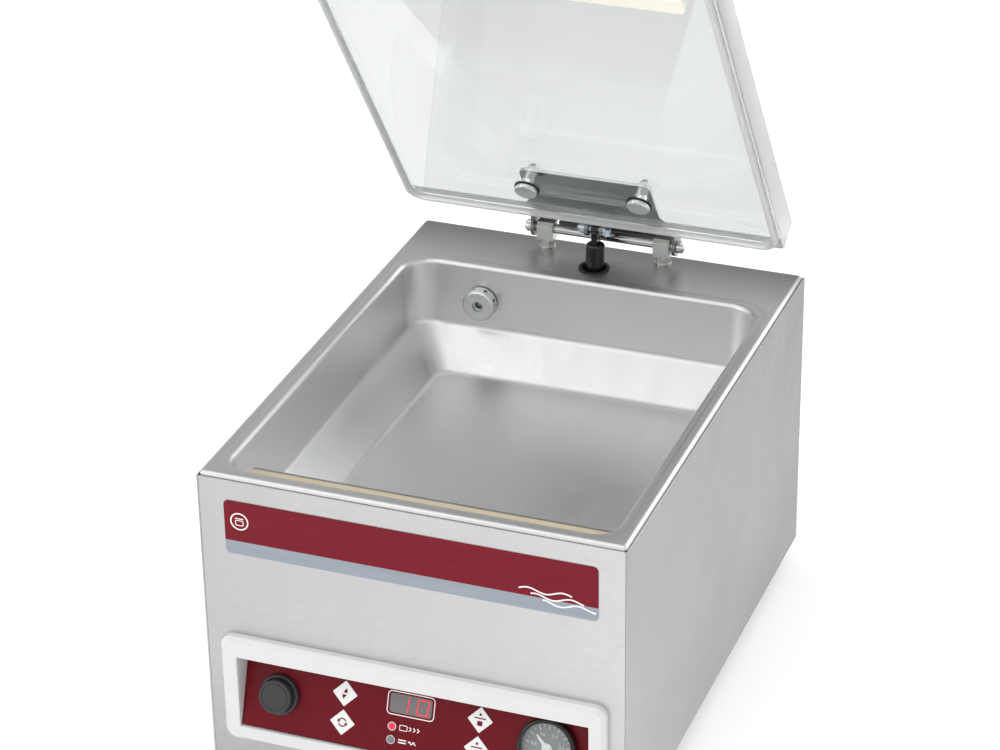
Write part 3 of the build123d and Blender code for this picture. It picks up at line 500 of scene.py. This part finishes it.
def rounded_corner(before, corner, after, radius, steps=8):
    """Points of an arc that rounds one corner of a flat outline."""
    corner = Vector(corner)
    start = (Vector(before) - corner).normalized()
    end = (Vector(after) - corner).normalized()
    half = start.angle(end) / 2
    centre = corner + (start + end).normalized() * (radius / math.sin(half))
    first = corner + start * (radius / math.tan(half)) - centre
    last = corner + end * (radius / math.tan(half)) - centre
    points = []
    for step in range(steps + 1):
        along = first.lerp(last, step / steps).normalized() * radius
        points.append(tuple(centre + along))
    return points


def piece(mesh, name, finish, body, place=Matrix.Identity(4), smooth=30.0):
    """Turns a finished bmesh into a named piece that rides on a body."""
    bmesh.ops.recalc_face_normals(mesh, faces=mesh.faces)
    data = bpy.data.meshes.new(name)
    mesh.to_mesh(data)
    mesh.free()
    data.transform(place)
    for face in data.polygons:
        face.use_smooth = True
    data.set_sharp_from_angle(angle=math.radians(smooth))
    data.materials.append(MATERIALS[finish].material)
    made = bpy.data.objects.new(name, data)
    bpy.context.scene.collection.objects.link(made)
    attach(made, body)
    return made


# ---------------------------------------------------------------- chamber tray

SHEET = 1.2
CHAMBER_HALF_WIDTH = 148.5
CHAMBER_FRONT = 15.0
CHAMBER_REAR = 381.0
FRONT_CORNER, FRONT_CORNER_TAPER = 18, 5
REAR_CORNER, REAR_CORNER_TAPER = 25, 3
FRONT_LEAN = 1 / 16

# The wall's section, as pairs of inset and height under the tray's top.
STEP_SECTION = [(-8.6, 0.0), (-7.8, -0.06), (-7.1, -0.22), (-6.5, -0.45), (-5.9, -0.62)]
STEP_SECTION += [(-5.3, -0.7), (-4.7, -0.7)]
RIM_RADIUS = 4.2
RIM_CENTRE = STEP_SECTION[-1][1] - RIM_RADIUS
LEDGE = (2.5, -56.0)
LEDGE_BEND = 7.0
FOOT = (33.5, -85.0)
FOOT_BEND = 9.0
FLOOR_POINT = (80.0, FOOT[1])
FLOOR_MARGIN = 12

TRAY_OUTLINE = (163.3, 1.6, 448.4)
TRAY_CORNER, TRAY_CORNER_TAPER = 2.5, 0.7
TRAY_EDGE_RADIUS = 3.0
SKIRT_DEPTH = 22.0
GROMMET_PLACE, GROMMET_HOLE = 405.7, 11.3
STUD_X, STUD_HOLE = 50.0, 4.1


def chamber_section():
    """A step round the opening, the rolled rim, the wall to the ledge and the slope below it."""
    section = list(STEP_SECTION)
    for step in range(10):
        angle = math.radians(9.7 * step + 1)
        inset = -RIM_RADIUS + RIM_RADIUS * math.sin(angle)
        section.append((inset, RIM_CENTRE + RIM_RADIUS * math.cos(angle)))
    section += rounded_corner(section[-1], LEDGE, FOOT, LEDGE_BEND)
    section += rounded_corner(LEDGE, FOOT, FLOOR_POINT, FOOT_BEND)
    return section


def chamber_ring(inset, height):
    """A level loop round the chamber, whose front wall leans in below the rim."""
    below_rim = max(0.0, RIM_CENTRE - height)
    return level_ring(
        CHAMBER_HALF_WIDTH - inset,
        behind(CHAMBER_FRONT + min(inset, 0.0) + below_rim * FRONT_LEAN),
        behind(CHAMBER_REAR - inset),
        TRAY_TOP + height,
        FRONT_CORNER - inset / FRONT_CORNER_TAPER,
        REAR_CORNER - inset / REAR_CORNER_TAPER,
    )


def make_tray():
    """The deep-drawn tray, with soft radii and a pressed step that its CAD solid leaves out."""
    mesh = bmesh.new()
    outside = [(0.0, -SKIRT_DEPTH), (0.0, -TRAY_EDGE_RADIUS)]
    for step in range(1, 7):
        angle = math.radians(15 * step)
        inset = TRAY_EDGE_RADIUS * (1 - math.cos(angle))
        outside.append((inset, -TRAY_EDGE_RADIUS + TRAY_EDGE_RADIUS * math.sin(angle)))
    outer_loops = []
    for inset, height in outside:
        corner = TRAY_CORNER - TRAY_CORNER_TAPER * inset
        ring = inset_ring(TRAY_OUTLINE, inset, TRAY_TOP + height, corner)
        outer_loops.append(add_loop(mesh, ring))
    skin(mesh, outer_loops)
    loops = [add_loop(mesh, chamber_ring(inset, height)) for inset, height in chamber_section()]
    skin(mesh, loops)
    floor_loop = add_loop(mesh, chamber_ring(FOOT[0] + FLOOR_MARGIN, FOOT[1]))
    skin(mesh, [loops[-1], floor_loop])
    mesh.faces.new(floor_loop)
    holes = [add_loop(mesh, circle(0, behind(GROMMET_PLACE), TRAY_TOP, GROMMET_HOLE))]
    for x in (-STUD_X, STUD_X):
        holes.append(add_loop(mesh, circle(x, AXLE.y, TRAY_TOP, STUD_HOLE, steps=24)))
    flat_fill(mesh, [outer_loops[-1], loops[0], *holes])
    tray = piece(mesh, "tray_skin", "steel_tray", "case")
    thicken = tray.modifiers.new("sheet", "SOLIDIFY")
    thicken.thickness = SHEET * MM
    thicken.offset = -1
    even = tray.modifiers.new("even", "WEIGHTED_NORMAL")
    even.keep_sharp = True
    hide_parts("chamber_tray")


# ---------------------------------------------------------------- lid

# The lid's pieces are drawn closed and turned about the axle to the rest pose.
OPENED = (
    Matrix.Translation(AXLE * MM)
    @ Matrix.Rotation(math.radians(OPEN_ANGLE), 4, Vector((-1, 0, 0)))
    @ Matrix.Translation(-AXLE * MM)
)

GROOVE_OUTLINE = (157.8, 4.8, 391.2)
GROOVE_WIDTH = 5
GROOVE_DEPTH = 2.0
GROOVE_CORNER = 16.0
GASKET_SIDE = [(0.15, 1.85), (0.15, 0.3), (0.6, -0.3), (0.6, -1.2), (0.6, -3.0)]
LIP_CENTRE = (2.5, -3.1)
LIP_RADIUS = 1.9
LIP_STEPS = 8

SLAB_OUTLINE = (161.0, 3.25, 392.7)
SLAB_THICKNESS = 25.0
SLAB_CORNER = 4.0
SLAB_EDGE_RADIUS = 1.2
SLAB_EDGE_STEPS = 4
HAIR = 0.05
CLAMP_X, CLAMP_PLACE = 47.0, SLAB_OUTLINE[2] - 40.0
SLEEVE_HOLE = 5.15


def make_gasket():
    """Soft silicone lip: a flat root in the lid's groove and a round lip under it."""
    section = list(GASKET_SIDE)
    for step in range(1, LIP_STEPS):
        angle = math.radians(180 + 180 * step / LIP_STEPS)
        inset = LIP_CENTRE[0] + LIP_RADIUS * math.cos(angle)
        section.append((inset, LIP_CENTRE[1] + LIP_RADIUS * math.sin(angle)))
    section += [(GROOVE_WIDTH - inset, height) for inset, height in reversed(GASKET_SIDE)]
    mesh = bmesh.new()
    loops = []
    for inset, height in section:
        ring = inset_ring(GROOVE_OUTLINE, inset, LID_BOTTOM + height, GROOVE_CORNER - inset)
        loops.append(add_loop(mesh, ring))
    skin(mesh, loops, closed=True)
    gasket = piece(mesh, "gasket_lip", "gasket_pale", "lid", place=OPENED, smooth=50.0)
    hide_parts("lid_gasket")


def make_slab():
    """The clear slab: polished faces, finely sawn edges, a gasket groove and two clamp holes.

    It is smaller than the CAD solid by a hair, so that its faces don't lie in those of what is
    bolted on.
    """
    low = LID_BOTTOM + HAIR
    high = LID_BOTTOM + SLAB_THICKNESS - HAIR
    mesh = bmesh.new()
    rounding = []
    for step in range(SLAB_EDGE_STEPS + 1):
        angle = math.radians(90 * step / SLAB_EDGE_STEPS)
        inset = SLAB_EDGE_RADIUS * (1 - math.sin(angle))
        rounding.append((inset, SLAB_EDGE_RADIUS * (1 - math.cos(angle))))
    edge = [(inset, low + rise) for inset, rise in rounding]
    edge += [(inset, high - rise) for inset, rise in reversed(rounding)]
    loops = []
    for inset, height in edge:
        ring = inset_ring(SLAB_OUTLINE, inset + HAIR, height, SLAB_CORNER - inset)
        loops.append(add_loop(mesh, ring))
    skin(mesh, loops)
    sawn = set(mesh.faces)
    outer, inner = -HAIR, GROOVE_WIDTH + HAIR
    groove_top = LID_BOTTOM + GROOVE_DEPTH + HAIR
    groove = []
    for inset, height in ((outer, low), (outer, groove_top), (inner, groove_top), (inner, low)):
        ring = inset_ring(GROOVE_OUTLINE, inset, height, GROOVE_CORNER - inset)
        groove.append(add_loop(mesh, ring))
    skin(mesh, groove)
    skin(mesh, [loops[0], groove[0]])
    low_holes, high_holes = [], []
    for x in (-CLAMP_X, CLAMP_X):
        low_holes.append(add_loop(mesh, circle(x, behind(CLAMP_PLACE), low, SLEEVE_HOLE)))
        high_holes.append(add_loop(mesh, circle(x, behind(CLAMP_PLACE), high, SLEEVE_HOLE)))
    for pair in zip(low_holes, high_holes):
        skin(mesh, pair)
    flat_fill(mesh, [groove[-1], *low_holes])
    flat_fill(mesh, [loops[-1], *high_holes])
    for face in sawn:
        face.material_index = 1
    slab = piece(mesh, "slab_clear", "lid_clear", "lid", place=OPENED, smooth=25.0)
    slab.data.materials.append(MATERIALS["lid_edge"].material)
    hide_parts("lid_slab")


# ---------------------------------------------------------------- control panel

# The panel's own axes: X to the right and Y up along its tilted face, Z out of it.
PANEL = Matrix.Translation(Vector((0, behind(-5.5), 56.0)) * MM) @ Matrix.Rotation(
    math.radians(90) - PANEL_TILT, 4, "X"
)
KEY_PLACES = {
    "key_program_step": (-57.5, 39.2),
    "key_value_change": (-57.5, 17.0),
    "key_vacuum_stop": (49.5, 39.6),
    "key_seal_start": (49.0, 17.4),
}
KEY_TOP = 0.3
GAUGE = (103.5, 29.6)
WINDOW = (-5.0, 39.8)
LAMPS = {"lamp_vacuum": (-18.2, 21.8), "lamp_seal": (-18.2, 11.5)}
INK = 0.12


def add_slab(mesh, outline, low, high):
    """A flat closed shape with the given outline, between two heights."""
    bottom = add_loop(mesh, [Vector((x, y, low)) for x, y in outline])
    top = add_loop(mesh, [Vector((x, y, high)) for x, y in outline])
    skin(mesh, [bottom, top])
    mesh.faces.new(top)
    mesh.faces.new(bottom[::-1])


def add_frame(mesh, outer, inner, low, high):
    """A flat closed band between two outlines with the same number of points."""
    loops = []
    for outline, height in ((outer, low), (outer, high), (inner, high), (inner, low)):
        loops.append(add_loop(mesh, [Vector((x, y, height)) for x, y in outline]))
    skin(mesh, loops, closed=True)


def add_line(mesh, points, width, low, high):
    """A flat stroke of one width along a run of points."""
    points = [Vector(point) for point in points]
    left, right = [], []
    for index, point in enumerate(points):
        before = points[max(index - 1, 0)]
        after = points[min(index + 1, len(points) - 1)]
        run = (after - before).normalized()
        side = Vector((-run.y, run.x)) * width / 2
        left.append(tuple(point + side))
        right.append(tuple(point - side))
    add_slab(mesh, left + right[::-1], low, high)


def round_outline(x, y, radius, steps=40):
    return [(point.x, point.y) for point in circle(x, y, 0, radius, steps)]


def box_outline(x, y, width, height, radius):
    ring = level_ring(width / 2, y - height / 2, y + height / 2, 0, radius, radius, 6)
    return [(point.x + x, point.y) for point in ring]


def add_text(mesh, text, size, x, y, low, high):
    """Upright figures centred on a point."""
    curve = bpy.data.curves.new("figures", "FONT")
    curve.body = text
    curve.size = size * MM
    curve.align_x = "CENTER"
    curve.align_y = "CENTER"
    curve.extrude = (high - low) * MM / 2
    holder = bpy.data.objects.new("figures", curve)
    bpy.context.scene.collection.objects.link(holder)
    bpy.context.view_layer.update()
    depsgraph = bpy.context.evaluated_depsgraph_get()
    data = bpy.data.meshes.new_from_object(holder.evaluated_get(depsgraph))
    data.transform(Matrix.Translation(Vector((x, y, (low + high) / 2)) * MM))
    mesh.from_mesh(data)
    bpy.data.objects.remove(holder)
    bpy.data.curves.remove(curve)
    bpy.data.meshes.remove(data)


SWIRL_RADIUS = 3.0
SWIRL_STEP = 12
SWIRL_POINTS = 12
ARROW_HALF_WIDTH = 1.5
ARROW_LENGTH = 2.2


def swirl(turn):
    """A bent arrow, as the strokes of an icon."""
    path = []
    for step in range(SWIRL_POINTS):
        angle = math.radians(turn + SWIRL_STEP * step)
        path.append((SWIRL_RADIUS * math.cos(angle), SWIRL_RADIUS * math.sin(angle)))
    end = Vector(path[-1])
    run = (end - Vector(path[-2])).normalized()
    side = Vector((-run.y, run.x)) * ARROW_HALF_WIDTH
    head = [tuple(end - side), tuple(end + run * ARROW_LENGTH), tuple(end + side)]
    return [("line", path, 0.95), ("shape", head)]


UP = [(-1.6, 0.7), (2.2, 0.7), (1.1, 4.3)]
DOWN = [(-x, -y) for x, y in UP]
SQUARE = [(-2.0, -4.4), (2.0, -4.4), (2.0, -0.8), (-2.0, -0.8)]
FORWARD = [(-1.6, -4.6), (2.3, -2.6), (-1.6, -0.6)]
DOT_OVER_BAR = [("dot", (0, 4.2), 1.0), ("line", [(-4.4, 1.3), (4.4, 1.3)], 0.9)]
KEY_ICONS = {
    "key_program_step": [("shape", UP), ("shape", DOWN)],
    "key_value_change": swirl(20) + swirl(200),
    "key_vacuum_stop": [*DOT_OVER_BAR, ("shape", SQUARE)],
    "key_seal_start": [*DOT_OVER_BAR, ("shape", FORWARD)],
}


def make_key_icons():
    """Plain pictograms on the four diamond keys."""
    low, high = KEY_TOP, KEY_TOP + INK
    for key, strokes in KEY_ICONS.items():
        mesh = bmesh.new()
        x, y = KEY_PLACES[key]
        for kind, points, *size in strokes:
            if kind == "shape":
                add_slab(mesh, [(x + a, y + b) for a, b in points], low, high)
            elif kind == "dot":
                outline = round_outline(x + points[0], y + points[1], *size, steps=20)
                add_slab(mesh, outline, low, high)
            else:
                add_line(mesh, [(x + a, y + b) for a, b in points], *size, low, high)
        piece(mesh, "icon_" + key[4:], "print_red", key, PANEL)


# Widths, heights and corner radii of drawn frames, outside and inside.
DISPLAY_FRAME = ((37.6, 18.4, 3.6), (36.2, 17.0, 2.9))
PANEL_BAG = ((6.4, 4.4, 0.8), (5.4, 3.4, 0.4))
LABEL_BAG = ((6.6, 4.6, 1.0), (5.4, 3.4, 0.6))
LAMP_RING = (3.4, 2.65)
LAMP_RING_HEIGHT = 0.5
PICTOGRAM_SHIFT = 9.0
CHEVRONS = (6.2, 9.4, 12.6)
CHEVRON_REACH, CHEVRON_RISE = 1.6, 1.5
SEAM_HALF_LENGTH, SEAM_RISE = 3.2, 1.0
HEAT_START, HEAT_STEP, HEAT_POINTS = 5.0, 0.7, 9
HEAT_RISE, HEAT_TURN = 1.2, 1.4


def add_box_frame(mesh, x, y, sizes):
    """A drawn frame with rounded corners round a point."""
    outer, inner = sizes
    add_frame(mesh, box_outline(x, y, *outer), box_outline(x, y, *inner), 0, INK)


def make_panel_print():
    """White print on the red panel: the display's outline, lamp rings and two pictograms."""
    mesh = bmesh.new()
    add_box_frame(mesh, *WINDOW, DISPLAY_FRAME)
    piece(mesh, "display_outline", "print_white", "case", PANEL)

    mesh = bmesh.new()
    for x, y in LAMPS.values():
        outer, inner = [round_outline(x, y, radius) for radius in LAMP_RING]
        add_frame(mesh, outer, inner, 0, LAMP_RING_HEIGHT)
    piece(mesh, "lamp_rings", "bar_aluminium", "case", PANEL)

    mesh = bmesh.new()
    x, y = LAMPS["lamp_vacuum"]
    x += PICTOGRAM_SHIFT
    add_box_frame(mesh, x, y, PANEL_BAG)
    for shift in CHEVRONS:
        tip = x + shift
        back = tip - CHEVRON_REACH
        chevron = [(back, y + CHEVRON_RISE), (tip, y), (back, y - CHEVRON_RISE)]
        add_line(mesh, chevron, 0.8, 0, INK)
    x, y = LAMPS["lamp_seal"]
    x += PICTOGRAM_SHIFT
    for seam in (y + SEAM_RISE, y - SEAM_RISE):
        add_line(mesh, [(x - SEAM_HALF_LENGTH, seam), (x + SEAM_HALF_LENGTH, seam)], 0.9, 0, INK)
    heat = []
    for step in range(HEAT_POINTS):
        heat.append((x + HEAT_START + HEAT_STEP * step, y + HEAT_RISE * math.sin(HEAT_TURN * step)))
    add_line(mesh, heat, 0.8, 0, INK)
    piece(mesh, "lamp_pictograms", "print_white", "case", PANEL)


DIAL_FACE = 2.0
DIAL_FIRST, DIAL_LAST = 225.0, -45.0
DIAL_STEPS = 20
DIAL_FIGURES = ("-1", "0.8", "0.6", "0.4", "0.2", "0")
MARK_END = 17.6
LONG_MARK = (14.2, 0.75)
SHORT_MARK = (15.6, 0.4)
FIGURE_RING = 10.7
FIGURE_SIZE = 3.6


def dial_direction(share):
    """The direction from the dial's centre at a share of its scale."""
    angle = math.radians(DIAL_FIRST + (DIAL_LAST - DIAL_FIRST) * share)
    return math.cos(angle), math.sin(angle)


def make_dial_print():
    """The gauge's scale: marks and figures round the dial, open at the bottom."""
    mesh = bmesh.new()
    low, high = DIAL_FACE, DIAL_FACE + INK
    centre = Vector(GAUGE)
    for step in range(DIAL_STEPS + 1):
        start, width = SHORT_MARK if step % 2 else LONG_MARK
        run = Vector(dial_direction(step / DIAL_STEPS))
        add_line(mesh, [centre + run * start, centre + run * MARK_END], width, low, high)
    for index, text in enumerate(DIAL_FIGURES):
        across, up = dial_direction(index / (len(DIAL_FIGURES) - 1))
        x, y = GAUGE[0] + FIGURE_RING * across, GAUGE[1] + FIGURE_RING * up
        add_text(mesh, text, FIGURE_SIZE, x, y, low, high)
    piece(mesh, "dial_print", "print_white", "case", PANEL)


# The label's marks are drawn in X and height, and lie on its front.
LABEL = Matrix.Translation(Vector((0, behind(-0.5), 0)) * MM) @ Matrix.Rotation(
    math.radians(90), 4, "X"
)
BAG_MARK = (-132.0, CASE_TOP - 33.0)
BAG_RING = (7.2, 6.2)
BAG_DROP = 1.2
MOUTH_HALF_LENGTH, MOUTH_RISE = 3.3, 2.4
STREAMS = 3
STREAM_POINTS = 25
STREAM_START, STREAM_SHIFT, STREAM_LENGTH = 84, 9, 40
STREAM_DROP, STREAM_GAP = 11.5, 4.2
STREAM_RISE, STREAM_TURN, STREAM_PHASE = 1.7, 9.4, 0.8


def make_label_marks():
    """Plain pictograms on the front label: a bag under vacuum, and flowing air."""
    mesh = bmesh.new()
    x, z = BAG_MARK
    outer, inner = [round_outline(x, z, radius) for radius in BAG_RING]
    add_frame(mesh, outer, inner, 0, INK)
    add_box_frame(mesh, x, z - BAG_DROP, LABEL_BAG)
    mouth = z + MOUTH_RISE
    add_line(mesh, [(x - MOUTH_HALF_LENGTH, mouth), (x + MOUTH_HALF_LENGTH, mouth)], 0.8, 0, INK)
    for stream in range(STREAMS):
        left = STREAM_START + STREAM_SHIFT * stream
        level = z - STREAM_DROP - STREAM_GAP * stream
        points = []
        for step in range(STREAM_POINTS):
            reach = step / (STREAM_POINTS - 1)
            wave = STREAM_RISE * math.sin(reach * STREAM_TURN + STREAM_PHASE * stream)
            points.append((left + STREAM_LENGTH * reach, level + wave))
        add_line(mesh, points, 1.1, 0, INK)
    piece(mesh, "label_marks", "print_white", "case", LABEL)


# ---------------------------------------------------------------- surroundings

FLOOR_REACH = 6.0
FLOOR_GLOW = 0.22
PAPER = (rgb(247, 247, 247), rgb(250, 250, 250))

# The world's strength falls from bright to dim towards one side, given as a direction.
DIM_SIDE = Vector((-0.42, 0.84, 0.5))
WORLD_FALL = {"From Min": 0.55, "From Max": 1.0, "To Min": 0.95, "To Max": 0.55}

# Place, size and power of each soft light. All are aimed at one point.
LIGHT_TARGET = (0.0, 0.0, 0.25)
LIGHTS = {
    "overhead": ((-0.4, -0.9, 2.4), (2.6, 2.2), 12.5),
    "front_left": ((-2.0, -1.8, 1.2), (1.2, 1.2), 11),
    "back_right": ((1.5, 2.3, 1.35), (3.0, 2.0), 24),
}

CAMERA_PLACE = (0.7604, -2.0156, 1.4212)
CAMERA_TARGET = (-0.0124, 0.0, 0.2602)
CAMERA_ROLL = -0.94
CAMERA_LENS = 115.1
SENSOR_WIDTH = 36.0
CLIP_END = 50.0


def make_floor():
    """A wide sheet of white studio paper."""
    mesh = bmesh.new()
    reach = FLOOR_REACH
    corners = [(-reach, -reach), (reach, -reach), (reach, reach), (-reach, reach)]
    mesh.faces.new([mesh.verts.new((x, y, 0.0)) for x, y in corners])
    data = bpy.data.meshes.new("floor")
    mesh.to_mesh(data)
    mesh.free()
    paper = Finish(
        "studio_paper", roughness=0.7, emission_color=WHITE, emission_strength=FLOOR_GLOW
    )
    paper.set("Base Color", paper.blend(paper.between(paper.noise(scale=3.0), 0, 1), *PAPER))
    data.materials.append(paper.material)
    floor = bpy.data.objects.new("floor", data)
    bpy.context.scene.collection.objects.link(floor)


def area_light(name, place, size, power):
    """A soft rectangular light aimed at the machine."""
    data = bpy.data.lights.new(name, "AREA")
    data.shape = "RECTANGLE"
    data.size, data.size_y = size
    data.energy = power
    light = bpy.data.objects.new(name, data)
    light.location = place
    aim = Vector(LIGHT_TARGET) - Vector(place)
    light.rotation_euler = aim.to_track_quat("-Z", "Y").to_euler()
    bpy.context.scene.collection.objects.link(light)


def make_lights():
    """A bright studio that falls off behind the machine, as the steel's tones show."""
    world = bpy.data.worlds.new("studio")
    world.use_nodes = True
    tree = world.node_tree
    background = tree.nodes["Background"]
    background.inputs["Color"].default_value = WHITE
    direction = tree.nodes.new("ShaderNodeTexCoord").outputs["Generated"]
    towards_dim = tree.nodes.new("ShaderNodeVectorMath")
    towards_dim.operation = "DOT_PRODUCT"
    towards_dim.inputs[1].default_value = DIM_SIDE.normalized()
    tree.links.new(direction, towards_dim.inputs[0])
    fall = tree.nodes.new("ShaderNodeMapRange")
    fall.interpolation_type = "SMOOTHSTEP"
    for name, value in WORLD_FALL.items():
        fall.inputs[name].default_value = value
    tree.links.new(towards_dim.outputs["Value"], fall.inputs["Value"])
    tree.links.new(fall.outputs["Result"], background.inputs["Strength"])
    bpy.context.scene.world = world
    for name, settings in LIGHTS.items():
        area_light(name, *settings)


def make_camera():
    """The camera that the view was fitted with."""
    data = bpy.data.cameras.new("photo_view")
    data.lens = CAMERA_LENS
    data.sensor_width = SENSOR_WIDTH
    data.clip_end = CLIP_END
    camera = bpy.data.objects.new("photo_view", data)
    camera.location = CAMERA_PLACE
    aim = (Vector(CAMERA_TARGET) - camera.location).to_track_quat("-Z", "Y").to_matrix().to_4x4()
    roll = Matrix.Rotation(math.radians(CAMERA_ROLL), 4, "Z")
    camera.matrix_world = Matrix.Translation(camera.location) @ aim @ roll
    bpy.context.scene.collection.objects.link(camera)
    bpy.context.scene.camera = camera


dress_cad_nodes()
make_tray()
make_gasket()
make_slab()
make_key_icons()
make_panel_print()
make_dial_print()
make_label_marks()
make_floor()
make_lights()
make_camera()
bpy.context.scene.view_settings.view_transform = "Standard"
